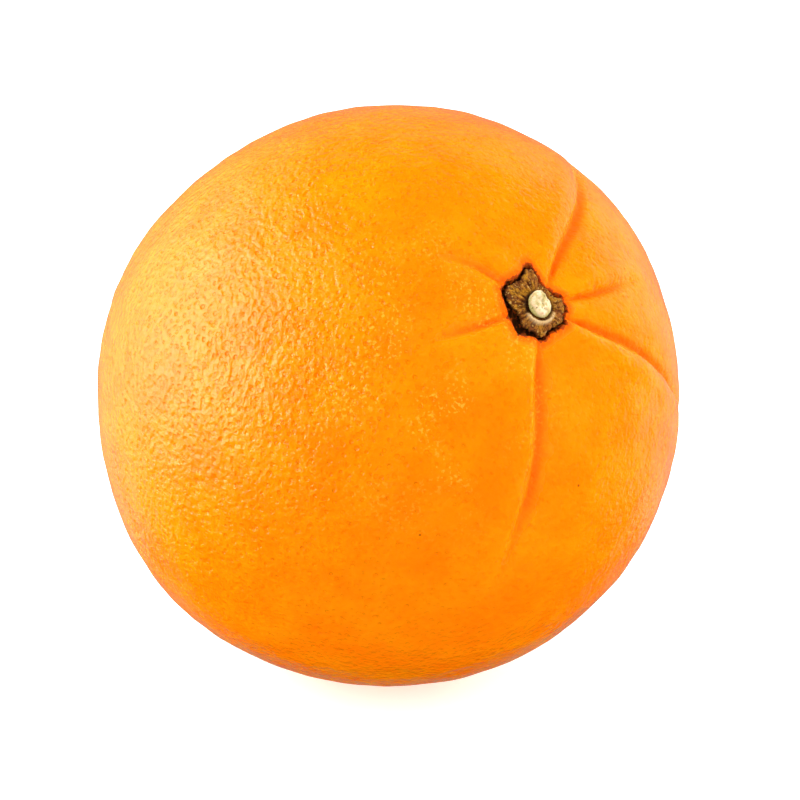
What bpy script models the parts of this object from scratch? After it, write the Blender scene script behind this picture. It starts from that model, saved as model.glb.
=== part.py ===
"""A whole orange lying on its side, with its dried calyx and the stub of its cut stem.

Units are metres and +Z is up. The origin is the middle of the flat spot that the fruit rests on, and
the stem end leans up and towards -Y. Each piece is shaped in the fruit's own frame, whose origin is
the fruit's centre and whose Z runs out through the stem. An empty turns and lifts that frame.
"""

import math
import random
from typing import NamedTuple

import bmesh
import bpy
from mathutils import Vector, noise
from mathutils.kdtree import KDTree

MM = 0.001

# ---- The fruit ----
EQUATOR_RADIUS = 39.6 * MM
POLE_RADIUS = 41.2 * MM
STEM_RISE = math.radians(33)  # the stem's axis above the horizontal, as the fruit lies
REST_SPOT_RADIUS = 8.0 * MM
UNEVEN_BROAD = 0.75 * MM  # the broad swells that keep the fruit from being a true ball
UNEVEN_FINE = 0.12 * MM
STEM_DIP_DEPTH = 0.9 * MM  # the rind draws in round the stem
STEM_DIP_RADIUS = 9.0 * MM
BED_DEPTH = 0.9 * MM  # the calyx's bed, below the rind round it
BED_WALL = 0.5 * MM  # how far out the bed's wall slopes
BED_RIM = 7.4 * MM  # the rind is whole again by here
TRENCH_WIDTH = 1.05 * MM  # how much wider the bed is where the calyx has shrunk away from it
TRENCH_AZIMUTH = 200  # in degrees
TRENCH_SPREAD = 32
SCAR_DEPTH = 0.7 * MM  # the dimple at the blossom end, with the scar of the style in it
SCAR_RADIUS = 3.2 * MM
SCAR_KNOB = 0.35 * MM
SCAR_KNOB_RADIUS = 1.1 * MM

# ---- The pits of the rind, several times their true size and spacing ----
PIT_COUNT = 800
PIT_RADIUS = 1.55 * MM
PIT_DEPTH = 0.55 * MM
PIT_SIDES = 6
PIT_GATHER = 1.15  # above 1, the pits crowd towards the stem
PIT_SCATTER = 0.1  # how far a pit strays, as a share of the mean spacing
GOLDEN_ANGLE = math.pi * (3 - math.sqrt(5))

# ---- The calyx and the stem ----
GAP = 0.3 * MM  # between neighbours that touch in nature
CALYX_CORE_RADIUS = 2.6 * MM  # out to the deepest notch between the lobes
CALYX_TIP_RADIUS = 5.0 * MM
CALYX_THICKNESS = 0.75 * MM
CALYX_LIFT = 0.15 * MM  # how far the lobes' tips curl up off the rind
COLLAR_HEIGHT = 0.55 * MM  # what is left of the ring that stood round the foot of the stem
COLLAR_WIDTH = 0.6 * MM
COLLAR_AZIMUTH = 262  # the middle of that crescent, and half its spread, in degrees
COLLAR_SPREAD = 75
STEM_RADIUS = 1.5 * MM
STEM_HEIGHT = 1.0 * MM
STEM_DOME = 0.4 * MM
STEM_OVAL = 0.15  # how much longer than wide the cut face is
STEM_LEAN = (-0.1 * MM, 0.3 * MM)  # how far its top is aside of its foot
CALYX_TURN_STEPS = 72
STEM_TURN_STEPS = 40


class Furrow(NamedTuple):
    """A crease that runs out from the stem. Azimuths are in degrees, and lengths in metres."""

    azimuth: float
    reach: float
    depth: float
    width: float
    lip: int  # the side that stands proud: 1 anticlockwise, -1 clockwise, seen from outside
    sway: float


FURROWS = (
    Furrow(42, 40 * MM, 1.3 * MM, 3.2 * MM, 1, 0.4 * MM),
    Furrow(4, 24 * MM, 1.2 * MM, 2.4 * MM, 1, -0.2 * MM),
    Furrow(-26, 44 * MM, 1.3 * MM, 2.8 * MM, -1, -0.2 * MM),
    Furrow(-105, 44 * MM, 1.0 * MM, 4.0 * MM, -1, 0.0),
    Furrow(-176, 19 * MM, 1.1 * MM, 3.2 * MM, 1, 0.2 * MM),
    Furrow(138, 18 * MM, 0.9 * MM, 3.6 * MM, -1, -1.2 * MM),
)
FURROW_START = 1.0 * MM  # from the stem's axis, under the calyx
FURROW_OPEN = 8.0 * MM  # where the furrows are at their deepest
FURROW_SPREAD = 16 * MM  # where they reach their full width
FURROW_NARROW = 0.5  # their width at the start, as a share of the full one
SWAY_LENGTH = 26 * MM
CREASE_START = 8.0 * MM  # from here on, lines of points run along the furrows
CREASE_STEP = 1.3 * MM
CREASE_LINES = (0.0, 0.45, -0.3, 1.0, -0.9)  # across the furrow, as shares of its width
CREASE_SPACE = 0.6 * MM  # the least between two of those points


class Lobe(NamedTuple):
    """A dried sepal: its azimuth and half spread in degrees, and how far its tip is from the axis."""

    azimuth: float
    spread: float
    tip: float


LOBES = (
    Lobe(84, 18, CALYX_TIP_RADIUS),
    Lobe(112, 14, 3.1 * MM),
    Lobe(140, 31, 4.5 * MM),
    Lobe(216, 20, 3.3 * MM),
    Lobe(260, 24, 3.6 * MM),
    Lobe(315, 26, 3.5 * MM),
    Lobe(356, 20, 4.0 * MM),
)

STEM_END = Vector((0, 0, 1))
BLOSSOM_END = Vector((0, 0, -1))
DOWN = Vector((0, -math.cos(STEM_RISE), -math.sin(STEM_RISE)))  # in the fruit's own frame


def smooth_step(start, end, value):
    """0 at start and before it, 1 at end and beyond it, and smooth between. Start may be above end."""
    share = min(1.0, max(0.0, (value - start) / (end - start)))
    return share * share * (3 - 2 * share)


def bell(value, width):
    return math.exp(-((value / width) ** 2))


def arc_from(axis, direction):
    """How far along the rind a direction is from an axis."""
    return EQUATOR_RADIUS * direction.angle(axis)


def sway_at(furrow, arc):
    """How far aside a furrow's line has wandered, this far from the stem."""
    return furrow.sway * math.sin(math.tau * arc / SWAY_LENGTH) * smooth_step(0, 12 * MM, arc)


def furrow_depth_at(furrow, arc):
    """A furrow's depth along its line: full near the stem, and gone at its reach."""
    opening = smooth_step(FURROW_START, FURROW_OPEN, arc)
    return furrow.depth * opening * smooth_step(furrow.reach, 0.4 * furrow.reach, arc)


def furrow_width_at(furrow, arc):
    widening = smooth_step(FURROW_START, FURROW_SPREAD, arc)
    return furrow.width * (FURROW_NARROW + (1 - FURROW_NARROW) * widening)


def furrow_relief(furrow, direction, arc):
    """The furrow's part of the rind's height: a steep side with a proud lip, and a long slope."""
    turn = math.atan2(direction.y, direction.x) - math.radians(furrow.azimuth)
    if math.cos(turn) < 0:
        return 0.0
    aside = EQUATOR_RADIUS * math.hypot(direction.x, direction.y) * math.sin(turn)
    across = furrow.lip * (aside - sway_at(furrow, arc)) / furrow_width_at(furrow, arc)
    if across > 0:
        shape = 0.3 * bell(across - 1.0, 0.55) - bell(across, 0.28)
    else:
        shape = -0.5 * bell(across, 0.24) - 0.5 * bell(across, 0.85)
    return furrow_depth_at(furrow, arc) * shape


def furrow_floor(direction, arc):
    """All the furrows together."""
    return sum(furrow_relief(furrow, direction, arc) for furrow in FURROWS)


def calyx_reach(turn):
    """The calyx's outline: how far it runs from the axis, lobe by lobe."""
    reach = CALYX_CORE_RADIUS
    for lobe in LOBES:
        apart = math.remainder(math.degrees(turn) - lobe.azimuth, 360)
        reach += (lobe.tip - CALYX_CORE_RADIUS) * bell(apart, lobe.spread)
    ragged = noise.noise(Vector((3 * math.cos(turn), 3 * math.sin(turn), 5.5)))
    return reach + 0.35 * MM * ragged


def bed_reach(turn):
    """The foot of the bed's wall: just clear of the calyx, and further out along the trench."""
    apart = math.remainder(math.degrees(turn) - TRENCH_AZIMUTH, 360)
    return calyx_reach(turn) + GAP + TRENCH_WIDTH * bell(apart, TRENCH_SPREAD)


def bed_share(direction, arc):
    """1 in the bed that the calyx lies in, 0 outside its wall."""
    if arc > BED_RIM:
        return 0.0
    foot = bed_reach(math.atan2(direction.y, direction.x))
    return smooth_step(foot + BED_WALL, foot, arc)


def stem_relief(direction, arc):
    """The rind's form round the stem: a wide dip with furrows running out of it, and the bed."""
    bed = bed_share(direction, arc)
    rind = furrow_floor(direction, arc) * (1 - bed)
    return rind - STEM_DIP_DEPTH * bell(arc, STEM_DIP_RADIUS) - BED_DEPTH * bed


def scar_relief(arc):
    """The dimple at the blossom end, with a low knob in it."""
    return SCAR_KNOB * bell(arc, SCAR_KNOB_RADIUS) - SCAR_DEPTH * bell(arc, SCAR_RADIUS)


def unevenness(direction):
    broad = noise.noise(direction * 1.3 + Vector((6.7, 2.0, 5.1)))
    fine = noise.noise(direction * 5.0 + Vector((2.3, 9.4, 0.6)))
    return UNEVEN_BROAD * broad + UNEVEN_FINE * fine


def rind_radius(direction):
    """The rind's distance from the fruit's centre in a direction, before it is pitted or set down."""
    across = math.hypot(direction.x, direction.y)
    ball = 1 / math.hypot(across / EQUATOR_RADIUS, direction.z / POLE_RADIUS)
    relief = stem_relief(direction, arc_from(STEM_END, direction))
    return ball + relief + scar_relief(arc_from(BLOSSOM_END, direction)) + unevenness(direction)


def rest_height():
    """The centre's height over the surface that the fruit lies on."""
    return math.sqrt(rind_radius(DOWN) ** 2 - REST_SPOT_RADIUS**2)


def settled_radius(direction, pit_depth, floor):
    """The rind's distance from the centre, pitted, and flat where it would pass below the floor."""
    radius = rind_radius(direction) - pit_depth
    downward = direction.dot(DOWN)
    return min(radius, floor / downward) if downward > 0 else radius


# ---- Where the fruit's points lie, as directions from its centre ----


def spread_pits():
    """The pits' directions, spread over a ball by the golden angle, each one strayed a little."""
    draw = random.Random(7)
    stray = PIT_SCATTER * math.sqrt(4 * math.pi / PIT_COUNT)
    found = []
    for index in range(PIT_COUNT):
        height = 1 - 2 * ((index + 0.5) / PIT_COUNT) ** PIT_GATHER
        across = math.sqrt(1 - height * height)
        turn = index * GOLDEN_ANGLE
        aside = Vector((draw.gauss(0, stray), draw.gauss(0, stray), draw.gauss(0, stray)))
        point = Vector((across * math.cos(turn), across * math.sin(turn), height)) + aside
        found.append(point.normalized())
    return found


def ring(axis, radius, count):
    """Directions in a ring round an axis, this far from it along the rind."""
    side = axis.orthogonal().normalized()
    other = axis.cross(side)
    tilt = radius / EQUATOR_RADIUS
    turns = [math.tau * index / count for index in range(count)]
    return [
        axis * math.cos(tilt) + (side * math.cos(turn) + other * math.sin(turn)) * math.sin(tilt)
        for turn in turns
    ]


def furrow_line(furrow, across):
    """Directions along a furrow, at a share of its width to the side of its crease."""
    found = []
    arc = CREASE_START
    while arc < 0.92 * furrow.reach:
        tilt = arc / EQUATOR_RADIUS
        aside = sway_at(furrow, arc) + furrow.lip * across * furrow_width_at(furrow, arc)
        turn = math.radians(furrow.azimuth) + aside / (EQUATOR_RADIUS * math.sin(tilt))
        flat = Vector((math.cos(turn), math.sin(turn), 0))
        found.append(flat * math.sin(tilt) + STEM_END * math.cos(tilt))
        arc += CREASE_STEP
    return found


def tree_of(points):
    tree = KDTree(len(points))
    for index, point in enumerate(points):
        tree.insert(point, index)
    tree.balance()
    return tree


def clear_of(points, others, gap):
    """The points that are no nearer than a gap to any of the others."""
    tree = tree_of(others)
    return [point for point in points if tree.find(point)[2] * EQUATOR_RADIUS > gap]


def hull(points):
    """A bmesh with a vertex at each point, joined up as their convex hull."""
    shape = bmesh.new()
    for point in points:
        shape.verts.new(point)
    bmesh.ops.convex_hull(shape, input=shape.verts)
    unused = [vert for vert in shape.verts if not vert.link_faces]
    bmesh.ops.delete(shape, geom=unused, context="VERTS")
    return shape


def bed_points():
    """Rings over the bed's floor, up its wall and out to its rim, all on the bed's own outline."""
    rings = ((0.4, 0, 8), (0.75, 0, 20), (1, 0, 72), (1, 0.5 * BED_WALL, 72), (1, BED_WALL, 48))
    found = [STEM_END.copy()]
    for share, beyond, count in rings:
        for index in range(count):
            turn = math.tau * index / count
            tilt = (share * bed_reach(turn) + beyond) / EQUATOR_RADIUS
            flat = Vector((math.cos(turn), math.sin(turn), 0))
            found.append(flat * math.sin(tilt) + STEM_END * math.cos(tilt))
    return found + clear_of(ring(STEM_END, BED_RIM, 44), found, CREASE_SPACE)


def scar_points():
    return [BLOSSOM_END.copy()] + ring(BLOSSOM_END, 1.3 * MM, 8) + ring(BLOSSOM_END, 3 * MM, 14)


def rest_points():
    rings = ((0.33, 8), (0.67, 18), (1.0, 36))
    found = [DOWN.copy()]
    for share, count in rings:
        found += ring(DOWN, REST_SPOT_RADIUS * share, count)
    return found


def crease_points():
    """Lines of points along every furrow, the lines down the creases first."""
    found = rest_points()
    rest_count = len(found)
    for across in CREASE_LINES:
        for furrow in FURROWS:
            found += clear_of(furrow_line(furrow, across), found, CREASE_SPACE)
    return found[rest_count:]


def make_fruit():
    """The rind: a pitted ball, creased round the stem, with a flat spot where it rests."""
    features = bed_points() + crease_points() + scar_points() + rest_points()
    pits = clear_of(spread_pits(), features, PIT_RADIUS + CREASE_SPACE)
    edges = [point for pit in pits for point in ring(pit, PIT_RADIUS, PIT_SIDES)]
    shape = hull(features + pits + edges)
    pit_tree = tree_of(pits)
    floor = rest_height()
    for vert in shape.verts:
        from_pit = pit_tree.find(vert.co)[2] * EQUATOR_RADIUS
        pit_depth = PIT_DEPTH * smooth_step(0.9 * PIT_RADIUS, 0, from_pit)
        vert.co = vert.co * settled_radius(vert.co.normalized(), pit_depth, floor)
    return finish("fruit", shape, PEEL)


# ---- The calyx and the stem ----


def turned(profile, steps):
    """A closed solid turned from (radius, height) points, from the axis down and back to the axis."""
    outline = bpy.data.meshes.new("outline")
    points = [(radius, 0, height) for radius, height in profile]
    outline.from_pydata(points, [(index, index + 1) for index in range(len(points) - 1)], [])
    holder = bpy.data.objects.new("outline", outline)
    bpy.context.scene.collection.objects.link(holder)
    screw = holder.modifiers.new("turn", "SCREW")
    screw.steps = steps
    screw.render_steps = steps
    screw.use_merge_vertices = True
    screw.merge_threshold = 0.01 * MM
    solid = bpy.data.meshes.new_from_object(holder.evaluated_get(bpy.context.evaluated_depsgraph_get()))
    shape = bmesh.new()
    shape.from_mesh(solid)
    bpy.data.objects.remove(holder)
    bpy.data.meshes.remove(outline)
    bpy.data.meshes.remove(solid)
    return shape


def bed_height(x, y):
    """The height of the rind's bed under a point, along the stem's axis from the fruit's centre."""
    direction = Vector((x, y, POLE_RADIUS - BED_DEPTH)).normalized()
    return direction.z * rind_radius(direction)


def calyx_profile():
    """Unit radii and heights over the bed: the socket, the collar, the plate, and back underneath."""
    socket = (STEM_RADIUS + GAP) / CALYX_CORE_RADIUS
    collar = socket + COLLAR_WIDTH / CALYX_CORE_RADIUS
    plate = CALYX_THICKNESS
    foot = plate + COLLAR_HEIGHT
    return (
        (0, 0.3 * plate),
        (0.9 * socket, 0.3 * plate),
        (socket, 0.5 * plate),
        (socket, 0.9 * foot),
        (0.5 * (socket + collar), foot),
        (collar, 1.05 * plate),
        (1.06, 0.95 * plate),
        (1.3, 0.9 * plate),
        (1.55, 0.8 * plate),
        (1.6, 0.4 * plate),
        (1.55, 0.0),
        (1.3, 0.0),
        (1.0, 0.0),
        (0.5, 0.0),
        (0, 0.0),
    )


def collar_height(turn):
    """How far the collar stands above the plate, this far round."""
    apart = math.remainder(math.degrees(turn) - COLLAR_AZIMUTH, 360)
    return COLLAR_HEIGHT * smooth_step(COLLAR_SPREAD, 0.7 * COLLAR_SPREAD, abs(apart))


def make_calyx():
    """The dried calyx: a lobed woody plate with a collar round the stem's socket."""
    shape = turned(calyx_profile(), CALYX_TURN_STEPS)
    outer = 1.6
    for vert in shape.verts:
        share = math.hypot(vert.co.x, vert.co.y)
        turn = math.atan2(vert.co.y, vert.co.x)
        stretch = smooth_step(1.0, outer, share)
        reach = calyx_reach(turn)
        radius = share * CALYX_CORE_RADIUS
        radius += stretch * (reach - outer * CALYX_CORE_RADIUS)
        x = radius * math.cos(turn)
        y = radius * math.sin(turn)
        curl = CALYX_LIFT * smooth_step(CALYX_CORE_RADIUS, CALYX_TIP_RADIUS, radius)
        grain = 0.12 * MM * noise.noise(Vector((9 * math.cos(turn), 9 * math.sin(turn), share)))
        rise = min(vert.co.z, CALYX_THICKNESS + collar_height(turn)) + curl
        if vert.co.z > 0:
            rise += grain
        vert.co = (x, y, bed_height(x, y) + GAP + rise)
    return finish("calyx", shape, BARK)


def make_stem():
    """The stub of the stem, cut across, standing in the calyx's socket."""
    foot = bed_height(0, 0) + GAP + 0.3 * CALYX_THICKNESS + GAP
    edge = 0.3 * MM
    profile = (
        (0, STEM_HEIGHT + STEM_DOME),
        (0.4 * STEM_RADIUS, STEM_HEIGHT + 0.9 * STEM_DOME),
        (0.75 * STEM_RADIUS, STEM_HEIGHT + 0.55 * STEM_DOME),
        (STEM_RADIUS - edge, STEM_HEIGHT),
        (STEM_RADIUS, STEM_HEIGHT - edge),
        (0.98 * STEM_RADIUS, 0.5 * STEM_HEIGHT),
        (0.88 * STEM_RADIUS, edge),
        (0.8 * STEM_RADIUS, 0),
        (0, 0),
    )
    shape = turned(profile, STEM_TURN_STEPS)
    for vert in shape.verts:
        lump = noise.noise(vert.co / (1.6 * MM) + Vector((1.5, 7.7, 3.1)))
        share = vert.co.z / STEM_HEIGHT
        vert.co.x = (1 + 0.1 * lump * share) * vert.co.x + STEM_LEAN[0] * share
        vert.co.y = (1 + (STEM_OVAL + 0.1 * lump) * share) * vert.co.y + STEM_LEAN[1] * share
        vert.co.z += foot + 0.2 * MM * lump * share
    return finish("stem_stub", shape, CUT_WOOD)


# ---- Materials and assembly ----


def material(name, colour, roughness):
    made = bpy.data.materials.new(name)
    made.use_nodes = True
    shader = made.node_tree.nodes["Principled BSDF"]
    shader.inputs["Base Color"].default_value = (*colour, 1)
    shader.inputs["Roughness"].default_value = roughness
    shader.inputs["Metallic"].default_value = 0.0
    made.diffuse_color = (*colour, 1)
    return made


def finish(name, shape, surface):
    """Turns a bmesh into a named, smoothly shaded object with its material."""
    mesh = bpy.data.meshes.new(name)
    bmesh.ops.recalc_face_normals(shape, faces=shape.faces)
    shape.to_mesh(mesh)
    shape.free()
    mesh.shade_smooth()
    mesh.set_sharp_from_angle(angle=math.radians(50))
    mesh.materials.append(surface)
    return bpy.data.objects.new(name, mesh)


def clear_scene():
    for obj in list(bpy.data.objects):
        bpy.data.objects.remove(obj)


def main():
    """Builds the pieces in a collection, on the empty that holds the fruit's own frame."""
    collection = bpy.data.collections.new("orange")
    bpy.context.scene.collection.children.link(collection)
    centre = bpy.data.objects.new("fruit_centre", None)
    centre.location = (0, 0, rest_height())
    centre.rotation_euler = (math.pi / 2 - STEM_RISE, 0, 0)
    collection.objects.link(centre)
    for piece in (make_fruit(), make_calyx(), make_stem()):
        piece.parent = centre
        collection.objects.link(piece)


clear_scene()
PEEL = material("orange_peel", (0.93, 0.29, 0.01), 0.38)
BARK = material("dried_calyx", (0.22, 0.11, 0.04), 0.85)
CUT_WOOD = material("cut_stem", (0.78, 0.65, 0.4), 0.8)
main()
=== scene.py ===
"""The looks of a whole orange: its pitted peel, its dried calyx and the stub of its cut stem.

The three pieces are made again here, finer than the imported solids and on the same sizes. Each is
shaped in the fruit's own frame, whose origin is the fruit's centre and whose Z runs out through the
stem, and is then turned and lifted to where it lies. Lengths are in metres.
"""

import math
from typing import NamedTuple

import bpy
import numpy as np
from mathutils import Matrix, Vector, noise
from mathutils.geometry import delaunay_2d_cdt


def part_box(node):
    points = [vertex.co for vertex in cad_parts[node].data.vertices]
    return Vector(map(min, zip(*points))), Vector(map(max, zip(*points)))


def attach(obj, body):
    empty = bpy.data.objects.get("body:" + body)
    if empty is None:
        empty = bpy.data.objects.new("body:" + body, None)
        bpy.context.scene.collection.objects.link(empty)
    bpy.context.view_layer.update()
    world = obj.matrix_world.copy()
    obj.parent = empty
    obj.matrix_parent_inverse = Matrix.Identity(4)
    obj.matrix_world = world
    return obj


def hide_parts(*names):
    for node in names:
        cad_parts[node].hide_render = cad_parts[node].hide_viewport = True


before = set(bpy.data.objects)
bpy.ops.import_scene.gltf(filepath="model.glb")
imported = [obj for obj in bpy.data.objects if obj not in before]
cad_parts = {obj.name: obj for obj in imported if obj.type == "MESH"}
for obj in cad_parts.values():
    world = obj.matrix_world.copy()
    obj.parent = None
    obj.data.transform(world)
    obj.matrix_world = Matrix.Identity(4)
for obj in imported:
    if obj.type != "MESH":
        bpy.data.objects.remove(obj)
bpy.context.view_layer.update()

MM = 0.001

# ---- The fruit, on the solids' own sizes ----
EQUATOR_RADIUS = 39.6 * MM
POLE_RADIUS = 41.2 * MM
STEM_RISE = math.radians(33)  # the stem's axis above the horizontal, as the fruit lies
REST_SPOT_RADIUS = 8.0 * MM
UNEVEN_BROAD = 0.75 * MM  # the broad swells that keep the fruit from being a true ball
UNEVEN_FINE = 0.12 * MM
STEM_DIP_DEPTH = 0.9 * MM  # the rind draws in round the stem
STEM_DIP_RADIUS = 9.0 * MM
BED_DEPTH = 0.9 * MM  # the calyx's bed, below the rind round it
BED_CLEARANCE = 0.1 * MM  # between the calyx and the bed's wall
BED_WALL = 0.4 * MM  # how far out the bed's wall slopes
BED_RIM = 7.4 * MM  # the rind is whole again by here
STAIN_WIDTH = 1.1 * MM  # how far out from the bed's foot the rind is stained brown, with painted shadow near black at the foot and in the bed
BED_SHADE_WIDTH = 2.3 * MM  # and how far out painted shade deepens the rind's colour
TRENCH_WIDTH = 1.05 * MM  # how much wider the bed is where the calyx has shrunk away from it
TRENCH_AZIMUTH = 200  # in degrees
TRENCH_SPREAD = 32
SCAR_DEPTH = 0.7 * MM  # the dimple at the blossom end, with the scar of the style in it
SCAR_RADIUS = 3.2 * MM
SCAR_KNOB = 0.35 * MM
SCAR_KNOB_RADIUS = 1.1 * MM
SCAR_STAIN = 0.7  # how brown that scar is, from 0 for clean peel to 1 for black
SCAR_STAIN_RADIUS = 2.0 * MM

# ---- The pits of the peel, at their true size ----
PIT_COUNT = 12500
PIT_SEED = 11
PIT_DEPTH = 0.11 * MM
PIT_SHALLOWEST = 0.35  # the depth of the shallowest, as a share of the deepest
PIT_FADE = (0.45, 0.9)  # they start to fade where the peel is this creased, and are gone by here
PIT_RADIUS = 0.45 * MM
PIT_SIDES = 6
PIT_SCATTER = 0.38  # how far a pit strays, as a share of the mean spacing
PORE_SPACING = 1.15 * MM  # the finest pores, between the pits, are only in the material
PORE_DEPTH = 0.07 * MM
SPECK_SPACING = 9 * MM  # a few brown specks, far apart, are there too
PEBBLE_SIZE = 1.3 * MM  # low swells between groups of pits
PEBBLE_HEIGHT = 0.05 * MM
SWELL_SIZE = 3.4 * MM  # and wider swells
SWELL_HEIGHT = 0.12 * MM
COARSE_SIDE = Vector((-0.83, 0.23, 0.51))  # where the pits are strongest, in the fruit's own frame
COARSE_SPREAD = 36 * MM
PLAIN_RELIEF = 0.48  # how strong they are round about, as a share
FAR_START = 70 * MM  # they are strong again on the fruit's other side, from here
FAR_REACH = 95 * MM  # to here
GLINT_SIDE = Vector((-0.4, -0.1, 0.91))  # where painted glints show between the pits, as pale flecks in the peel's colour
GLINT_SPREAD = 17 * MM
FINE_RADIUS = 7.5 * MM  # round the stem the peel has no pits and is modelled more finely
FINE_SPACING = 0.2 * MM
SCAR_FINE_RADIUS = 3.4 * MM  # and so it is round the blossom scar
CREASE_SPACING = 0.4 * MM  # the spacing of its points in the furrows, which have no pits either
CREASE_DEPTH = 0.4 * MM  # where they are deeper than this
GOLDEN_ANGLE = math.pi * (3 - math.sqrt(5))

# ---- The calyx and the stem ----
GAP = 0.3 * MM
CALYX_CORE_RADIUS = 2.6 * MM  # out to the deepest notch between the lobes
CALYX_TIP_RADIUS = 5.0 * MM
CALYX_PLATE_RADIUS = 1.6 * CALYX_CORE_RADIUS  # before its edge is drawn in and out to the lobes
CALYX_THICKNESS = 0.75 * MM
CALYX_LIFT = 0.15 * MM  # how far the lobes' tips curl up off the rind
COLLAR_HEIGHT = 0.55 * MM  # the ring that stands round the foot of the stem
COLLAR_WIDTH = 0.6 * MM
COLLAR_AZIMUTH = 262  # the collar has worn away but for a crescent, this many degrees round
COLLAR_SPREAD = 75
STEM_RADIUS = 1.5 * MM
SOCKET_RADIUS = STEM_RADIUS + GAP  # of the hole in the calyx that the stem stands in
STEM_HEIGHT = 1.0 * MM
STEM_DOME = 0.4 * MM
STEM_OVAL = 0.15  # how much longer than wide the cut face is
STEM_LEAN = (-0.1 * MM, 0.3 * MM)  # how far its top is aside of its foot


class Furrow(NamedTuple):
    """A crease that runs out from the stem. Azimuths are in degrees, and lengths in metres."""

    azimuth: float
    reach: float
    depth: float
    width: float
    lip: int  # the side that stands proud: 1 anticlockwise, -1 clockwise, seen from outside
    sway: float


FURROWS = (
    Furrow(42, 40 * MM, 1.3 * MM, 3.2 * MM, 1, 0.4 * MM),
    Furrow(4, 24 * MM, 1.2 * MM, 2.4 * MM, 1, -0.2 * MM),
    Furrow(-26, 44 * MM, 1.3 * MM, 2.8 * MM, -1, -0.2 * MM),
    Furrow(-105.5, 44 * MM, 1.0 * MM, 4.0 * MM, -1, -0.35 * MM),
    Furrow(-176, 19 * MM, 1.1 * MM, 3.2 * MM, 1, 0.2 * MM),
    Furrow(138, 18 * MM, 0.9 * MM, 3.6 * MM, -1, -1.2 * MM),
)
FURROW_LIMIT = max(furrow.reach for furrow in FURROWS)
FURROW_DEEPEST = max(furrow.depth for furrow in FURROWS)
FURROW_START = 1.0 * MM  # from the stem's axis, under the calyx
FURROW_OPEN = 8.0 * MM  # where the furrows are at their deepest
FURROW_SPREAD = 16 * MM  # where they reach their full width
FURROW_NARROW = 0.5  # their width at the start, as a share of the full one
SWAY_LENGTH = 26 * MM
SWAY_START = 12 * MM  # where their sway is at its full


class Lobe(NamedTuple):
    """A dried sepal: its azimuth and half spread in degrees, and how far its tip is from the axis."""

    azimuth: float
    spread: float
    tip: float


LOBES = (
    Lobe(84, 18, CALYX_TIP_RADIUS),
    Lobe(112, 14, 3.1 * MM),
    Lobe(140, 31, 4.5 * MM),
    Lobe(216, 20, 3.3 * MM),
    Lobe(260, 24, 3.6 * MM),
    Lobe(315, 26, 3.5 * MM),
    Lobe(356, 20, 4.0 * MM),
)

STEM_END = Vector((0, 0, 1))
BLOSSOM_END = Vector((0, 0, -1))
DOWN = Vector((0, -math.cos(STEM_RISE), -math.sin(STEM_RISE)))  # in the fruit's own frame


def smooth_step(start, end, value):
    """0 at start and before it, 1 at end and beyond it, and smooth between. Start may be above end."""
    share = min(1.0, max(0.0, (value - start) / (end - start)))
    return share * share * (3 - 2 * share)


def bell(value, width):
    return math.exp(-((value / width) ** 2))


# ---- The rind's form ----


def arc_from(axis, direction):
    """How far along the rind a direction is from an axis."""
    return EQUATOR_RADIUS * direction.angle(axis)


def sway_at(furrow, arc):
    """How far aside a furrow's line has wandered, this far from the stem."""
    return furrow.sway * math.sin(math.tau * arc / SWAY_LENGTH) * smooth_step(0, SWAY_START, arc)


def furrow_depth_at(furrow, arc):
    """A furrow's depth along its line: full near the stem, and gone at its reach."""
    opening = smooth_step(FURROW_START, FURROW_OPEN, arc)
    return furrow.depth * opening * smooth_step(furrow.reach, 0.4 * furrow.reach, arc)


def furrow_width_at(furrow, arc):
    widening = smooth_step(FURROW_START, FURROW_SPREAD, arc)
    return furrow.width * (FURROW_NARROW + (1 - FURROW_NARROW) * widening)


def furrow_relief(furrow, direction, arc):
    """The furrow's part of the rind's height: a steep side with a proud lip, and a long slope."""
    turn = math.atan2(direction.y, direction.x) - math.radians(furrow.azimuth)
    if math.cos(turn) < 0:
        return 0.0
    aside = EQUATOR_RADIUS * math.hypot(direction.x, direction.y) * math.sin(turn)
    across = furrow.lip * (aside - sway_at(furrow, arc)) / furrow_width_at(furrow, arc)
    if across > 0:
        shape = 0.3 * bell(across - 0.9, 0.5) - bell(across, 0.23)
    else:
        shape = -0.5 * bell(across, 0.2) - 0.5 * bell(across, 0.8)
    return furrow_depth_at(furrow, arc) * shape


def furrow_floor(direction, arc):
    """All the furrows together."""
    if arc > FURROW_LIMIT:
        return 0.0
    return sum(furrow_relief(furrow, direction, arc) for furrow in FURROWS)


def calyx_reach(turn):
    """The calyx's outline: how far it runs from the axis, lobe by lobe."""
    reach = CALYX_CORE_RADIUS
    for lobe in LOBES:
        apart = math.remainder(math.degrees(turn) - lobe.azimuth, 360)
        reach += (lobe.tip - CALYX_CORE_RADIUS) * bell(apart, lobe.spread)
    ragged = noise.noise(Vector((3 * math.cos(turn), 3 * math.sin(turn), 5.5)))
    return reach + 0.35 * MM * ragged


def bed_reach(turn):
    """The foot of the bed's wall: just clear of the calyx, and further out along the trench."""
    apart = math.remainder(math.degrees(turn) - TRENCH_AZIMUTH, 360)
    return calyx_reach(turn) + BED_CLEARANCE + TRENCH_WIDTH * bell(apart, TRENCH_SPREAD)


def bed_share(direction, arc):
    """1 in the bed that the calyx lies in, 0 outside its wall."""
    if arc > BED_RIM:
        return 0.0
    foot = bed_reach(math.atan2(direction.y, direction.x))
    return smooth_step(foot + BED_WALL, foot, arc)


def share_round_bed(direction, arc, width, start=0.0):
    """1 out to this far from the foot of the bed's wall, 0 from the width on."""
    if arc > 2 * BED_RIM:
        return 0.0
    foot = bed_reach(math.atan2(direction.y, direction.x))
    return smooth_step(foot + width, foot + start, arc)


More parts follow.
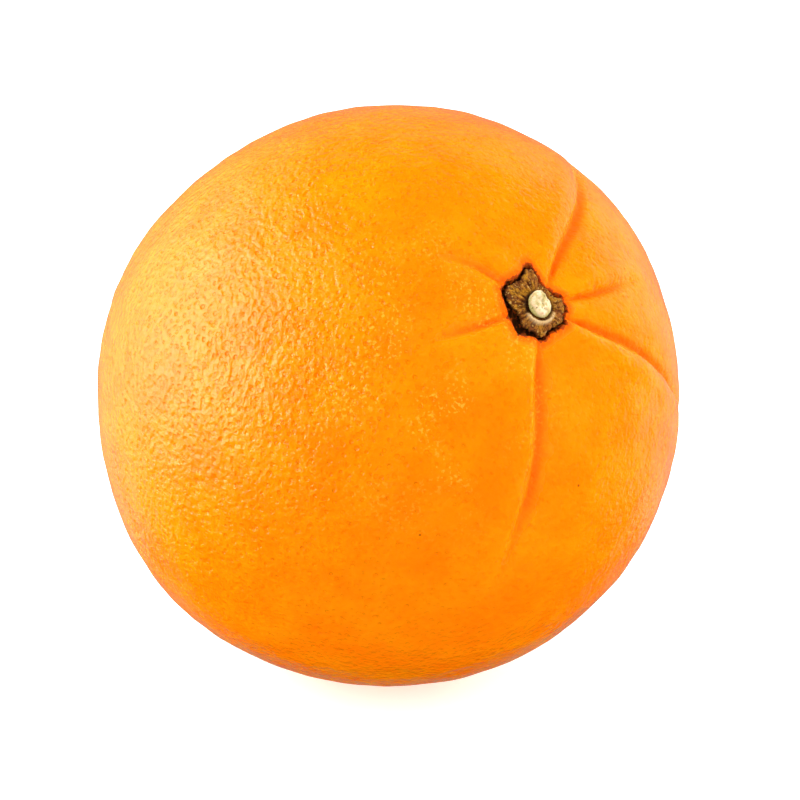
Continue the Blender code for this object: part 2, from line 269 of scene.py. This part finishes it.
def stem_relief(direction, arc):
    """The rind's form round the stem: a wide dip with furrows running out of it, and the bed."""
    bed = bed_share(direction, arc)
    rind = furrow_floor(direction, arc) * (1 - bed)
    return rind - STEM_DIP_DEPTH * bell(arc, STEM_DIP_RADIUS) - BED_DEPTH * bed


def scar_relief(arc):
    """The dimple at the blossom end, with a low knob in it."""
    return SCAR_KNOB * bell(arc, SCAR_KNOB_RADIUS) - SCAR_DEPTH * bell(arc, SCAR_RADIUS)


def unevenness(direction):
    broad = noise.noise(direction * 1.3 + Vector((6.7, 2.0, 5.1)))
    fine = noise.noise(direction * 5.0 + Vector((2.3, 9.4, 0.6)))
    return UNEVEN_BROAD * broad + UNEVEN_FINE * fine


def rind_radius(direction):
    """The rind's distance from the fruit's centre in a direction, before it is pitted or set down."""
    across = math.hypot(direction.x, direction.y)
    ball = 1 / math.hypot(across / EQUATOR_RADIUS, direction.z / POLE_RADIUS)
    relief = stem_relief(direction, arc_from(STEM_END, direction))
    return ball + relief + scar_relief(arc_from(BLOSSOM_END, direction)) + unevenness(direction)


def rest_height():
    """The centre's height over the surface that the fruit lies on."""
    return math.sqrt(rind_radius(DOWN) ** 2 - REST_SPOT_RADIUS**2)


def lying_place():
    """The turn and lift that take the fruit's own frame to where the fruit lies."""
    return Matrix.Translation((0, 0, rest_height())) @ Matrix.Rotation(math.pi / 2 - STEM_RISE, 4, "X")


# ---- The peel's mesh: a point in each pit, and one on the rim between each three pits ----


def unit(points):
    return points / np.linalg.norm(points, axis=1)[:, None]


def golden_spread(count, lowest):
    """Unit directions, one a row, spread by the golden angle from the stem's end down to a height."""
    index = np.arange(count)
    height = 1 - (1 - lowest) * (index + 0.5) / count
    across = np.sqrt(1 - height**2)
    turn = index * GOLDEN_ANGLE
    return np.column_stack((across * np.cos(turn), across * np.sin(turn), height))


def net_between(points):
    """The triangles that join directions over a ball, with the last point at DOWN.

    They are Delaunay's triangles on the plane that the ball maps to when it is seen from DOWN, and a
    fan that closes them there.
    """
    side = np.array(DOWN.orthogonal().normalized())
    other = np.cross(side, DOWN)
    rest = points[:-1]
    flat = np.column_stack((rest @ side, rest @ other)) / (1 - rest @ np.array(DOWN))[:, None]
    found = delaunay_2d_cdt([Vector(point) for point in flat.tolist()], [], [], 0, 1e-9)
    order = np.array([sources[0] for sources in found[3]])
    net = order[np.array(found[2])]
    tails = net.ravel()
    heads = np.roll(net, -1, axis=1).ravel()
    size = len(points)
    open_edges = ~np.isin(tails * size + heads, heads * size + tails)
    fan = np.column_stack((heads[open_edges], tails[open_edges], np.full(open_edges.sum(), size - 1)))
    net = np.vstack((net, fan))
    first = points[net[0]]
    facing = np.dot(np.cross(first[1] - first[0], first[2] - first[0]), first[0])
    return net if facing > 0 else net[:, ::-1]


def spread_pits(draw):
    """The pits' directions: a golden spread, each strayed and then moved amid its neighbours."""
    points = golden_spread(PIT_COUNT, -1)
    points += draw.normal(0, PIT_SCATTER * math.sqrt(4 * math.pi / PIT_COUNT), points.shape)
    points = np.vstack((unit(points), np.array(DOWN)))
    net = net_between(points)
    total = np.zeros_like(points)
    count = np.zeros(len(points))
    for corner in range(3):
        np.add.at(total, net[:, corner], points[net[:, (corner + 1) % 3]])
        np.add.at(count, net[:, corner], 1)
    return unit(total[:-1] / count[:-1, None])


def rings_round(points, draw):
    """Directions in a ring round each of the points, each ring turned by chance."""
    side = unit(np.cross(points, draw.normal(0, 1, points.shape)))
    other = np.cross(points, side)
    tilt = PIT_RADIUS / EQUATOR_RADIUS
    rings = []
    for step in range(PIT_SIDES):
        turn = math.tau * step / PIT_SIDES
        rings.append(points + tilt * (math.cos(turn) * side + math.sin(turn) * other))
    return unit(np.vstack(rings))


def fine_spread(reach, spacing):
    """Directions this far apart, all round the stem and out to a reach along the rind."""
    lowest = math.cos(reach / EQUATOR_RADIUS)
    return golden_spread(round(2 * math.pi * EQUATOR_RADIUS**2 * (1 - lowest) / spacing**2), lowest)


def in_furrows(points):
    """Which of the directions lie in the deep part of a furrow."""
    found = []
    for point in points.tolist():
        direction = Vector(point)
        found.append(furrow_floor(direction, arc_from(STEM_END, direction)) < -CREASE_DEPTH)
    return np.array(found)


def peel_points(draw):
    """Directions for the peel's points, the pits' centres first, and how deep each pit is."""
    pits = spread_pits(draw)
    pits = pits[pits[:, 2] < math.cos((FINE_RADIUS + PIT_RADIUS) / EQUATOR_RADIUS)]
    pits = pits[~in_furrows(pits)]
    pits = pits[pits[:, 2] > -math.cos((SCAR_FINE_RADIUS + PIT_RADIUS) / EQUATOR_RADIUS)]
    fine = fine_spread(FINE_RADIUS, FINE_SPACING)
    scar = fine_spread(SCAR_FINE_RADIUS, FINE_SPACING) * (1, 1, -1)
    creased = fine_spread(FURROW_LIMIT, CREASE_SPACING)
    creased = creased[creased[:, 2] < math.cos((FINE_RADIUS + CREASE_SPACING) / EQUATOR_RADIUS)]
    creased = creased[in_furrows(creased)]
    points = np.vstack((pits, rings_round(pits, draw), fine, scar, creased, np.array(DOWN)))
    depths = np.zeros(len(points))
    depths[: len(pits)] = draw.uniform(PIT_SHALLOWEST, 1.0, len(pits))
    return points, depths


def relief_at(direction):
    """How strong the peel's pits are in a direction, as a share of their full depth."""
    arc = arc_from(COARSE_SIDE, direction)
    coarse = max(bell(arc, COARSE_SPREAD), smooth_step(FAR_START, FAR_REACH, arc))
    return PLAIN_RELIEF + (1 - PLAIN_RELIEF) * coarse


def set_attribute(mesh, name, values):
    mesh.attributes.new(name, "FLOAT", "POINT").data.foreach_set("value", values)


def make_peel():
    """The peel, pitted all over, with the depth of each pit and crease kept for its material, and where
    its stain, painted shade and painted glints go.
    """
    points, pit_shares = peel_points(np.random.default_rng(PIT_SEED))
    faces = net_between(points)
    creases = np.zeros(len(points))
    stains_and_shadow = np.zeros(len(points))
    reliefs = np.zeros(len(points))
    flecks = np.zeros(len(points))
    floor = rest_height()
    for index, point in enumerate(points.tolist()):
        direction = Vector(point)
        stem_arc = arc_from(STEM_END, direction)
        scarred = smooth_step(SCAR_STAIN_RADIUS, 0.5 * SCAR_STAIN_RADIUS, arc_from(BLOSSOM_END, direction))
        stains_and_shadow[index] = max(share_round_bed(direction, stem_arc, STAIN_WIDTH), SCAR_STAIN * scarred)
        hollow = max(0.0, -furrow_floor(direction, stem_arc)) / FURROW_DEEPEST
        # a band of painted shade round the calyx's bed
        bed_shade = share_round_bed(direction, stem_arc, BED_SHADE_WIDTH, BED_WALL)
        creases[index] = max(hollow, bed_shade)
        reliefs[index] = relief_at(direction)
        # where the peel's painted glints show
        flecks[index] = bell(arc_from(GLINT_SIDE, direction), GLINT_SPREAD)
        pit_shares[index] *= reliefs[index] * (1 - smooth_step(*PIT_FADE, creases[index]))
        pebble = PEBBLE_HEIGHT * noise.noise(direction * EQUATOR_RADIUS / PEBBLE_SIZE)
        swell = SWELL_HEIGHT * noise.noise(direction * EQUATOR_RADIUS / SWELL_SIZE)
        radius = rind_radius(direction) + reliefs[index] * pebble + swell - PIT_DEPTH * pit_shares[index]
        downward = direction.dot(DOWN)
        if downward > 0:
            radius = min(radius, floor / downward)
        points[index] *= radius
    mesh = bpy.data.meshes.new("peel")
    mesh.from_pydata(points.tolist(), [], faces.tolist())
    set_attribute(mesh, "pit", pit_shares)
    set_attribute(mesh, "crease", creases)
    set_attribute(mesh, "stain_and_shadow", stains_and_shadow)
    set_attribute(mesh, "relief", reliefs)
    set_attribute(mesh, "painted_glint", flecks)
    return mesh


# ---- The calyx and the stem ----


def lathe(name, place, row_count, turn_count):
    """A closed mesh whose rows go round the axis, from a point at the top to one at the bottom.

    place(share, turn) gives the point at a share of the way down the rows, this far round, and a
    dictionary of values that are kept as attributes.
    """
    points = []
    values = []
    for row in range(row_count + 1):
        share = row / row_count
        count = 1 if row in (0, row_count) else turn_count
        for step in range(count):
            point, kept = place(share, math.tau * step / turn_count)
            points.append(point)
            values.append(kept)
    last = len(points) - 1
    faces = []
    for step in range(turn_count):
        following = (step + 1) % turn_count
        faces.append((0, 1 + step, 1 + following))
        for row in range(row_count - 2):
            upper = 1 + row * turn_count
            lower = upper + turn_count
            faces.append((upper + step, lower + step, lower + following, upper + following))
        end = last - turn_count
        faces.append((end + step, last, end + following))
    mesh = bpy.data.meshes.new(name)
    mesh.from_pydata(points, [], faces)
    for key in values[0]:
        set_attribute(mesh, key, [kept[key] for kept in values])
    return mesh


def along(profile, share):
    """The point at a share of the length of a line of points."""
    lengths = [math.dist(start, end) for start, end in zip(profile, profile[1:])]
    left = share * sum(lengths)
    for start, end, length in zip(profile, profile[1:], lengths):
        if left <= length:
            part = left / length
            return start[0] + part * (end[0] - start[0]), start[1] + part * (end[1] - start[1])
        left -= length
    return profile[-1]


def rounded(profile, rounds):
    """A line of points with its corners cut back again and again."""
    for _ in range(rounds):
        cut = [profile[0]]
        for start, end in zip(profile, profile[1:]):
            for part in (0.25, 0.75):
                cut.append(tuple(a + part * (b - a) for a, b in zip(start, end)))
        profile = cut + [profile[-1]]
    return profile


def bed_height(x, y):
    """The height of the rind's bed under a point, along the stem's axis from the fruit's centre."""
    direction = Vector((x, y, POLE_RADIUS - BED_DEPTH)).normalized()
    return direction.z * rind_radius(direction)


def torn_reach(turn):
    """The calyx's outline with its torn and frayed edge."""
    around = Vector((math.cos(turn), math.sin(turn), 0))
    torn = noise.noise(around * 11 + Vector((0, 0, 2.5)))
    frayed = noise.noise(around * 37 + Vector((0, 0, 8.5)))
    return calyx_reach(turn) + 0.22 * MM * torn + 0.09 * MM * frayed


def calyx_profile():
    """Radii and heights over the bed: the socket, the collar, the plate, and back underneath."""
    socket = SOCKET_RADIUS
    collar = socket + COLLAR_WIDTH
    plate = CALYX_THICKNESS
    foot = plate + COLLAR_HEIGHT
    outer = CALYX_PLATE_RADIUS
    return rounded(
        (
            (0, 0.3 * plate),
            (0.9 * socket, 0.3 * plate),
            (socket, 0.5 * plate),
            (socket, 0.9 * foot),
            (0.5 * (socket + collar), foot),
            (collar, 1.05 * plate),
            (1.06 * CALYX_CORE_RADIUS, 0.95 * plate),
            (0.81 * outer, 0.9 * plate),
            (0.97 * outer, 0.8 * plate),
            (outer, 0.4 * plate),
            (0.97 * outer, 0.0),
            (0.81 * outer, 0.0),
            (0.6 * outer, 0.0),
            (0.3 * outer, 0.0),
            (0, 0.0),
        ),
        2,
    )


def make_calyx():
    """The dried calyx: a lobed, fibrous plate with a collar round the stem's socket."""
    profile = calyx_profile()

    def place(share, turn):
        radius, rise = along(profile, share)
        apart = math.remainder(math.degrees(turn) - COLLAR_AZIMUTH, 360)
        standing = smooth_step(COLLAR_SPREAD, 0.7 * COLLAR_SPREAD, abs(apart))
        rise = min(rise, CALYX_THICKNESS + COLLAR_HEIGHT * standing)
        stretch = smooth_step(CALYX_CORE_RADIUS, CALYX_PLATE_RADIUS, radius)
        reach = torn_reach(turn)
        radius += stretch * (reach - CALYX_PLATE_RADIUS)
        around = Vector((math.cos(turn), math.sin(turn), 0))
        x, y = radius * around.x, radius * around.y
        curl = CALYX_LIFT * smooth_step(CALYX_CORE_RADIUS, CALYX_TIP_RADIUS, radius)
        upper = smooth_step(0.0, 0.3 * MM, rise)
        fibre = noise.noise(around * 12 + Vector((0, 0, radius / (1.8 * MM))))
        lump = noise.noise(Vector((x, y, 0)) / (0.6 * MM))
        crumb = noise.noise(Vector((x, y, rise)) / (0.24 * MM))
        outside = smooth_step(SOCKET_RADIUS, SOCKET_RADIUS + GAP, radius)
        rough = (0.34 * fibre + 0.26 * lump + 0.1 * crumb) * MM * upper * outside
        height = bed_height(x, y) + GAP + rise + curl + rough
        kept = {
            "fibre": 0.5 + 0.8 * fibre + 0.3 * lump,
            # painted shade along the plate's edge, low down at its rim
            "rim_shade": smooth_step(0.93, 1.0, radius / reach) * smooth_step(0.9, 0.3, rise / CALYX_THICKNESS),
            "collar": bell(radius - SOCKET_RADIUS - 0.25 * MM, 0.22 * MM) * upper * standing,
            # painted shade round the stem's socket, where no collar stands
            "socket": smooth_step(SOCKET_RADIUS + 2 * GAP, SOCKET_RADIUS, radius) * (1 - standing),
        }
        return (x, y, height), kept

    return lathe("calyx_plate", place, row_count=90, turn_count=320)


def make_stem():
    """The stub of the stem, cut across, standing in the calyx's socket."""
    foot = bed_height(0, 0) + GAP + 0.3 * CALYX_THICKNESS + GAP
    edge = 0.3 * MM
    profile = rounded(
        (
            (0, STEM_HEIGHT + STEM_DOME),
            (0.4 * STEM_RADIUS, STEM_HEIGHT + 0.9 * STEM_DOME),
            (0.75 * STEM_RADIUS, STEM_HEIGHT + 0.55 * STEM_DOME),
            (STEM_RADIUS - edge, STEM_HEIGHT),
            (STEM_RADIUS, STEM_HEIGHT - edge),
            (0.98 * STEM_RADIUS, 0.5 * STEM_HEIGHT),
            (0.88 * STEM_RADIUS, edge),
            (0.8 * STEM_RADIUS, 0),
            (0, 0),
        ),
        2,
    )

    def place(share, turn):
        radius, height = along(profile, share)
        point = Vector((radius * math.cos(turn), radius * math.sin(turn), height))
        lump = noise.noise(point / (1.1 * MM) + Vector((1.5, 7.7, 3.1)))
        grain = noise.noise(point / (0.35 * MM))
        risen = height / STEM_HEIGHT
        point.x *= 1 + (0.16 * lump + 0.05 * grain) * risen
        point.y *= 1 + (STEM_OVAL + 0.16 * lump + 0.05 * grain) * risen
        point.z += foot + (0.3 * lump + 0.14 * grain) * MM * risen
        point.x += STEM_LEAN[0] * risen
        point.y += STEM_LEAN[1] * risen
        return point, {"grain": 0.5 + 0.5 * grain, "risen": risen}

    return lathe("stem_knob", place, row_count=60, turn_count=128)


# ---- Materials ----


def add_node(tree, kind, inputs=None, **settings):
    """Adds a node. Settings are its own properties, and inputs are values or other nodes' outputs."""
    made = tree.nodes.new(kind)
    for name, value in settings.items():
        setattr(made, name, value)
    for key, value in (inputs or {}).items():
        if isinstance(value, bpy.types.NodeSocket):
            tree.links.new(value, made.inputs[key])
        else:
            made.inputs[key].default_value = value
    return made


def new_material(name):
    """A material, its node tree, and the shader whose sockets the caller fills in."""
    made = bpy.data.materials.new(name)
    made.use_nodes = True
    return made, made.node_tree, made.node_tree.nodes["Principled BSDF"]


def attribute(tree, name):
    return add_node(tree, "ShaderNodeAttribute", attribute_name=name).outputs["Fac"]


def noise_value(tree, size, detail=2.0, roughness=0.5):
    """A noise whose features are about this size, in metres, fixed to the piece."""
    place = add_node(tree, "ShaderNodeTexCoord").outputs["Object"]
    inputs = {"Vector": place, "Scale": 1 / size, "Detail": detail, "Roughness": roughness}
    return add_node(tree, "ShaderNodeTexNoise", inputs).outputs["Fac"]


def spot_distance(tree, spacing):
    """How far a point is from the middle of the nearest of many spots, as a share of their spacing."""
    place = add_node(tree, "ShaderNodeTexCoord").outputs["Object"]
    inputs = {"Vector": place, "Scale": 1 / spacing}
    return add_node(tree, "ShaderNodeTexVoronoi", inputs).outputs["Distance"]


def remap(tree, value, start, end, low=0.0, high=1.0, kind="SMOOTHSTEP"):
    """A value taken from one range to another, and held inside it."""
    inputs = {"Value": value, "From Min": start, "From Max": end, "To Min": low, "To Max": high}
    return add_node(tree, "ShaderNodeMapRange", inputs, interpolation_type=kind).outputs["Result"]


def mixed(tree, factor, first, second):
    """One colour into another. Each is a socket or three numbers."""
    inputs = {0: factor}
    for key, colour in ((6, first), (7, second)):
        inputs[key] = colour if isinstance(colour, bpy.types.NodeSocket) else (*colour, 1)
    return add_node(tree, "ShaderNodeMix", inputs, data_type="RGBA").outputs[2]


def combined(tree, first, second, operation="MULTIPLY"):
    """One number from two: their product, unless another operation is named."""
    return add_node(tree, "ShaderNodeMath", {0: first, 1: second}, operation=operation).outputs[0]


def brink(tree, share):
    """1 half way up the side of a hollow whose share goes from 0 to 1, and 0 above and below it."""
    return combined(tree, combined(tree, share, combined(tree, 1.0, share, "SUBTRACT")), 4.0)


PIT_SHADE_COLOUR = (0.42, 0.15, 0.0003)  # painted shade round the brink of each pit and pore of the peel


def peel_material():
    """Waxy orange peel: mottled, with painted glints as pale flecks, painted shade in the creases and
    round the pits, and stained brown round the calyx with painted shadow in its bed.
    """
    made, tree, shader = new_material("orange_peel")
    mottle = remap(tree, noise_value(tree, 9 * MM, 4, 0.6), 0.38, 0.62)
    colour = mixed(tree, mottle, (0.98, 0.2, 0.001), (0.99, 0.24, 0.0015))
    fine_mottle = remap(tree, noise_value(tree, 1.6 * MM, 3), 0.45, 0.75)
    colour = mixed(tree, combined(tree, fine_mottle, 0.2), colour, (0.98, 0.17, 0.0005))
    pit = attribute(tree, "pit")
    colour = mixed(tree, remap(tree, pit, 0.3, 1.0, 0.0, 0.35), colour, (0.92, 0.24, 0.0005))
    crease = attribute(tree, "crease")
    # painted shade: a deeper orange down in the furrows and round the calyx's bed
    colour = mixed(tree, remap(tree, crease, 0.22, 0.9, 0.0, 0.85), colour, (0.98, 0.115, 0.0003))
    pores = remap(tree, spot_distance(tree, PORE_SPACING), 0.34, 0.18)
    relief = attribute(tree, "relief")
    # painted shade on the walls of the pores and pits, darker where the relief is stronger
    dark = remap(tree, relief, PLAIN_RELIEF, 1.0, 0.15, 0.65)
    pore_shade = combined(tree, brink(tree, pores), dark)
    colour = mixed(tree, pore_shade, colour, PIT_SHADE_COLOUR)
    pit_floor = remap(tree, pit, 0.15, 0.5)
    pit_shade = combined(tree, brink(tree, pit_floor), dark)
    colour = mixed(tree, pit_shade, colour, PIT_SHADE_COLOUR)
    # painted glints: pale flecks in the peel's colour, in patches on one side of the fruit
    patches = remap(tree, noise_value(tree, 7 * MM, 2), 0.42, 0.6)
    flecks = combined(tree, remap(tree, noise_value(tree, 0.45 * MM, 2), 0.56, 0.66), patches)
    glint_area = remap(tree, attribute(tree, "painted_glint"), 0.1, 0.7, 0.0, 0.75)
    colour = mixed(tree, combined(tree, flecks, glint_area), colour, (1.0, 0.4, 0.035))
    specks = remap(tree, spot_distance(tree, SPECK_SPACING), 0.03, 0.015, 0.0, 0.8)
    colour = mixed(tree, specks, colour, (0.1, 0.03, 0.002))
    ragged = combined(tree, noise_value(tree, 0.45 * MM, 3), 0.5, "SUBTRACT")
    stain_and_shadow = combined(tree, attribute(tree, "stain_and_shadow"), combined(tree, ragged, 1.5), "ADD")
    # brown stain round the calyx and on the blossom scar, near black in the scar's darkest spots and, as
    # painted shadow, down in the calyx's bed
    colour = mixed(tree, remap(tree, stain_and_shadow, 0.4, 0.65), colour, (0.33, 0.05, 0.004))
    colour = mixed(tree, remap(tree, stain_and_shadow, 0.75, 0.98), colour, (0.02, 0.005, 0.001))
    shader.inputs["Base Color"].default_value = (0.93, 0.21, 0.002, 1)
    tree.links.new(colour, shader.inputs["Base Color"])
    wax = noise_value(tree, 4 * MM, 3)
    rough = remap(tree, wax, 0.35, 0.65, 0.1, 0.17)
    dried = combined(tree, combined(tree, attribute(tree, "stain_and_shadow"), crease, "MAXIMUM"), 0.5)
    tree.links.new(combined(tree, rough, dried, "ADD"), shader.inputs["Roughness"])
    shader.inputs["IOR"].default_value = 1.45
    shader.inputs["Subsurface Weight"].default_value = 0.9
    shader.inputs["Subsurface Radius"].default_value = (1.0, 0.35, 0.08)
    shader.inputs["Subsurface Scale"].default_value = 2.0 * MM
    cushions = combined(tree, noise_value(tree, 0.85 * MM, 2), 0.42 * MM)
    skin = combined(tree, noise_value(tree, 0.35 * MM, 2), 0.012 * MM)
    height = combined(tree, cushions, skin, "ADD")
    height = combined(tree, height, combined(tree, pit_floor, 0.8 * PIT_DEPTH), "SUBTRACT")
    height = combined(tree, height, combined(tree, pores, PORE_DEPTH), "SUBTRACT")
    height = combined(tree, height, relief)
    bump = add_node(tree, "ShaderNodeBump", {"Height": height, "Distance": 1.0, "Strength": 1.0})
    tree.links.new(bump.outputs["Normal"], shader.inputs["Normal"])
    return made


def cracks(tree, size, width):
    """Thin wandering lines, about this far apart."""
    off = combined(tree, noise_value(tree, size, 2), 0.5, "SUBTRACT")
    return remap(tree, combined(tree, off, 0.0, "ABSOLUTE"), width, 0.0)


def calyx_material():
    """Dry, cracked and fibrous: brown with golden patches and pale on the collar, with painted shade dark
    under its rim and round the stem's socket.
    """
    made, tree, shader = new_material("dried_calyx")
    fibre = attribute(tree, "fibre")
    colour = mixed(tree, remap(tree, fibre, 0.28, 0.72), (0.12, 0.03, 0.003), (0.32, 0.12, 0.012))
    patches = remap(tree, noise_value(tree, 1.3 * MM, 2), 0.48, 0.62)
    colour = mixed(tree, combined(tree, patches, 0.7), colour, (0.45, 0.2, 0.01))
    rosy = remap(tree, noise_value(tree, 1.9 * MM, 2), 0.5, 0.62)
    colour = mixed(tree, combined(tree, rosy, 0.6), colour, (0.27, 0.08, 0.015))
    flecks = remap(tree, noise_value(tree, 0.33 * MM, 2), 0.58, 0.7)
    colour = mixed(tree, combined(tree, flecks, 0.8), colour, (0.6, 0.35, 0.09))
    dark = combined(tree, cracks(tree, 0.6 * MM, 0.045), 0.85)
    colour = mixed(tree, dark, colour, (0.05, 0.012, 0.004))
    # painted shade, near black, under the plate's rim
    colour = mixed(tree, combined(tree, attribute(tree, "rim_shade"), 0.9), colour, (0.03, 0.006, 0.002))
    # painted shade, dark brown, round the stem's socket
    colour = mixed(tree, combined(tree, attribute(tree, "socket"), 0.85), colour, (0.04, 0.012, 0.003))
    collar = combined(tree, attribute(tree, "collar"), 0.85)
    colour = mixed(tree, collar, colour, (0.72, 0.5, 0.24))
    tree.links.new(colour, shader.inputs["Base Color"])
    shader.inputs["Roughness"].default_value = 0.7
    shader.inputs["IOR"].default_value = 1.4
    shader.inputs["Specular IOR Level"].default_value = 0.15
    grain = noise_value(tree, 0.15 * MM, 3)
    bump = add_node(tree, "ShaderNodeBump", {"Height": grain, "Distance": 0.08 * MM, "Strength": 1.0})
    tree.links.new(bump.outputs["Normal"], shader.inputs["Normal"])
    return made


def stem_material():
    """Cream pith with faint dark flecks, greener down the sides."""
    made, tree, shader = new_material("cut_stem")
    pith = remap(tree, noise_value(tree, 0.9 * MM, 3), 0.4, 0.6)
    colour = mixed(tree, pith, (0.5, 0.39, 0.15), (0.84, 0.62, 0.38))
    side = remap(tree, attribute(tree, "risen"), 1.15, 0.6, 0, 0.9)
    colour = mixed(tree, side, colour, (0.36, 0.3, 0.08))
    lines = combined(tree, cracks(tree, 0.5 * MM, 0.02), 0.5)
    colour = mixed(tree, lines, colour, (0.25, 0.19, 0.06))
    flecks = remap(tree, noise_value(tree, 0.3 * MM, 3), 0.62, 0.7)
    colour = mixed(tree, combined(tree, flecks, 0.8), colour, (0.12, 0.08, 0.02))
    tree.links.new(colour, shader.inputs["Base Color"])
    shader.inputs["Roughness"].default_value = 0.6
    shader.inputs["IOR"].default_value = 1.45
    shader.inputs["Subsurface Weight"].default_value = 0.4
    shader.inputs["Subsurface Radius"].default_value = (1.0, 0.8, 0.5)
    shader.inputs["Subsurface Scale"].default_value = 0.4 * MM
    grain = noise_value(tree, 0.2 * MM, 3)
    bump = add_node(tree, "ShaderNodeBump", {"Height": grain, "Distance": 0.07 * MM, "Strength": 1.0})
    tree.links.new(bump.outputs["Normal"], shader.inputs["Normal"])
    return made


def floor_material():
    made, tree, shader = new_material("pale_floor")
    shade = noise_value(tree, 30 * MM, 2)
    colour = mixed(tree, shade, (0.86, 0.86, 0.86), (0.9, 0.9, 0.9))
    tree.links.new(colour, shader.inputs["Base Color"])
    shader.inputs["Roughness"].default_value = 0.7
    shader.inputs["Specular IOR Level"].default_value = 0.0
    shader.inputs["Emission Color"].default_value = (1, 1, 1, 1)
    shader.inputs["Emission Strength"].default_value = 0.45
    return made


# ---- The object and the studio ----


def show(mesh, material, node):
    """Puts a piece where the fruit lies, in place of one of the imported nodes."""
    mesh.transform(lying_place())
    mesh.shade_smooth()
    mesh.materials.append(material)
    piece = bpy.data.objects.new(mesh.name, mesh)
    bpy.context.scene.collection.objects.link(piece)
    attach(piece, "root")
    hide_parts(node)


FLOOR_SPAN = 4.0
FLOOR_DROP = 0.02 * MM  # so that the floor and the fruit's flat spot don't lie in one plane
CAMERA_AZIMUTH = math.radians(-33)
CAMERA_RISE = math.radians(20)
CAMERA_DISTANCE = 261.4 * MM
CAMERA_LENS = 85
AIM_RIGHT = 1.7 * MM  # how far beside the fruit's middle the camera looks, and how far below it
AIM_DOWN = 0.8 * MM

lowest, highest = (Vector(corner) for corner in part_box("fruit"))
MIDDLE = (lowest + highest) / 2
TOWARDS_CAMERA = Vector(
    (
        math.sin(CAMERA_AZIMUTH) * math.cos(CAMERA_RISE),
        -math.cos(CAMERA_AZIMUTH) * math.cos(CAMERA_RISE),
        math.sin(CAMERA_RISE),
    )
)
RIGHT = Vector((math.cos(CAMERA_AZIMUTH), math.sin(CAMERA_AZIMUTH), 0))
UP = TOWARDS_CAMERA.cross(RIGHT)


class Softbox(NamedTuple):
    """A rectangular light that faces the fruit's middle, with its lengths in metres."""

    name: str
    direction: tuple  # to the camera's right, up, and back towards the camera
    distance: float
    width: float
    height: float
    radiance: float
    warmth: float = 0.0  # the share of blue that it lacks
    matt: bool = True  # whether it lights the fruit's colour
    gloss: bool = True  # whether the fruit's gloss mirrors it


LEFT_WARMTH = 0.12
SOFTBOXES = (
    Softbox("key", (-0.93, 0.28, 0.2), 0.3, 0.22, 0.25, 3.7, warmth=LEFT_WARMTH),
    Softbox("key_halo", (-0.93, 0.28, 0.17), 0.32, 0.56, 0.5, 1.05, warmth=LEFT_WARMTH),
    Softbox("left_glow", (-0.9, 0, -0.35), 0.6, 0.8, 0.8, 1.4, gloss=False),
    Softbox("right_glow", (0.9, 0.1, -0.3), 0.6, 0.8, 0.8, 1.6, gloss=False),
    Softbox("right_fill", (0.9, 0.2, 0.3), 0.5, 0.4, 0.4, 1.8, gloss=False),
    Softbox("back_wall", (0, 0.35, -1), 0.6, 3.0, 1.3, 0.23, matt=False),
    Softbox("left_rim", (-0.8, 0.22, -0.6), 0.6, 0.6, 0.8, 0.38, warmth=LEFT_WARMTH, matt=False),
    Softbox("right_rim", (0.8, 0.25, -0.6), 0.6, 0.6, 0.8, 0.28, matt=False),
)


def aim(thing, place, target):
    """Puts a camera or light at a place, looking at a target."""
    thing.location = place
    thing.rotation_mode = "QUATERNION"
    thing.rotation_quaternion = (target - place).to_track_quat("-Z", "Y")
    bpy.context.scene.collection.objects.link(thing)


def add_camera():
    data = bpy.data.cameras.new("camera")
    data.lens = CAMERA_LENS
    data.clip_start = 0.01
    data.clip_end = 20
    camera = bpy.data.objects.new("camera", data)
    target = MIDDLE + RIGHT * AIM_RIGHT - UP * AIM_DOWN
    aim(camera, MIDDLE + TOWARDS_CAMERA * CAMERA_DISTANCE, target)
    bpy.context.scene.camera = camera


def add_softbox(box):
    data = bpy.data.lights.new(box.name, "AREA")
    data.shape = "RECTANGLE"
    data.size = box.width
    data.size_y = box.height
    data.energy = box.radiance * math.pi * box.width * box.height
    data.color = (1, 1, 1 - box.warmth)
    light = bpy.data.objects.new(box.name, data)
    light.visible_camera = False
    light.visible_diffuse = box.matt
    light.visible_glossy = box.gloss
    right, up, back = box.direction
    towards = (RIGHT * right + UP * up + TOWARDS_CAMERA * back).normalized()
    aim(light, MIDDLE + towards * box.distance, MIDDLE)


def add_world():
    """A white room, lit from above, that gloss doesn't mirror."""
    world = bpy.data.worlds.new("white_room")
    bpy.context.scene.world = world
    world.cycles_visibility.glossy = False
    world.use_nodes = True
    tree = world.node_tree
    place = add_node(tree, "ShaderNodeTexCoord").outputs["Generated"]
    height = add_node(tree, "ShaderNodeSeparateXYZ", {0: place}).outputs["Z"]
    shine = remap(tree, height, -0.4, 0.4, low=1.1, high=1.65)
    seen = add_node(tree, "ShaderNodeLightPath").outputs["Is Camera Ray"]
    strength = add_node(tree, "ShaderNodeMix", {0: seen, 2: shine, 3: 1.0}).outputs[0]
    tree.links.new(strength, tree.nodes["Background"].inputs["Strength"])
    tree.nodes["Background"].inputs["Color"].default_value = (1, 1, 1, 1)


def add_floor():
    mesh = bpy.data.meshes.new("floor")
    half = FLOOR_SPAN / 2
    corners = [(-half, -half, 0), (half, -half, 0), (half, half, 0), (-half, half, 0)]
    mesh.from_pydata(corners, [], [(0, 1, 2, 3)])
    mesh.materials.append(floor_material())
    floor = bpy.data.objects.new("floor", mesh)
    floor.location.z = -FLOOR_DROP
    floor.visible_diffuse = False
    floor.visible_glossy = False
    bpy.context.scene.collection.objects.link(floor)


show(make_peel(), peel_material(), "fruit")
show(make_calyx(), calyx_material(), "calyx")
show(make_stem(), stem_material(), "stem_stub")
add_floor()
add_camera()
add_world()
for box in SOFTBOXES:
    add_softbox(box)
bpy.context.scene.view_settings.view_transform = "Standard"
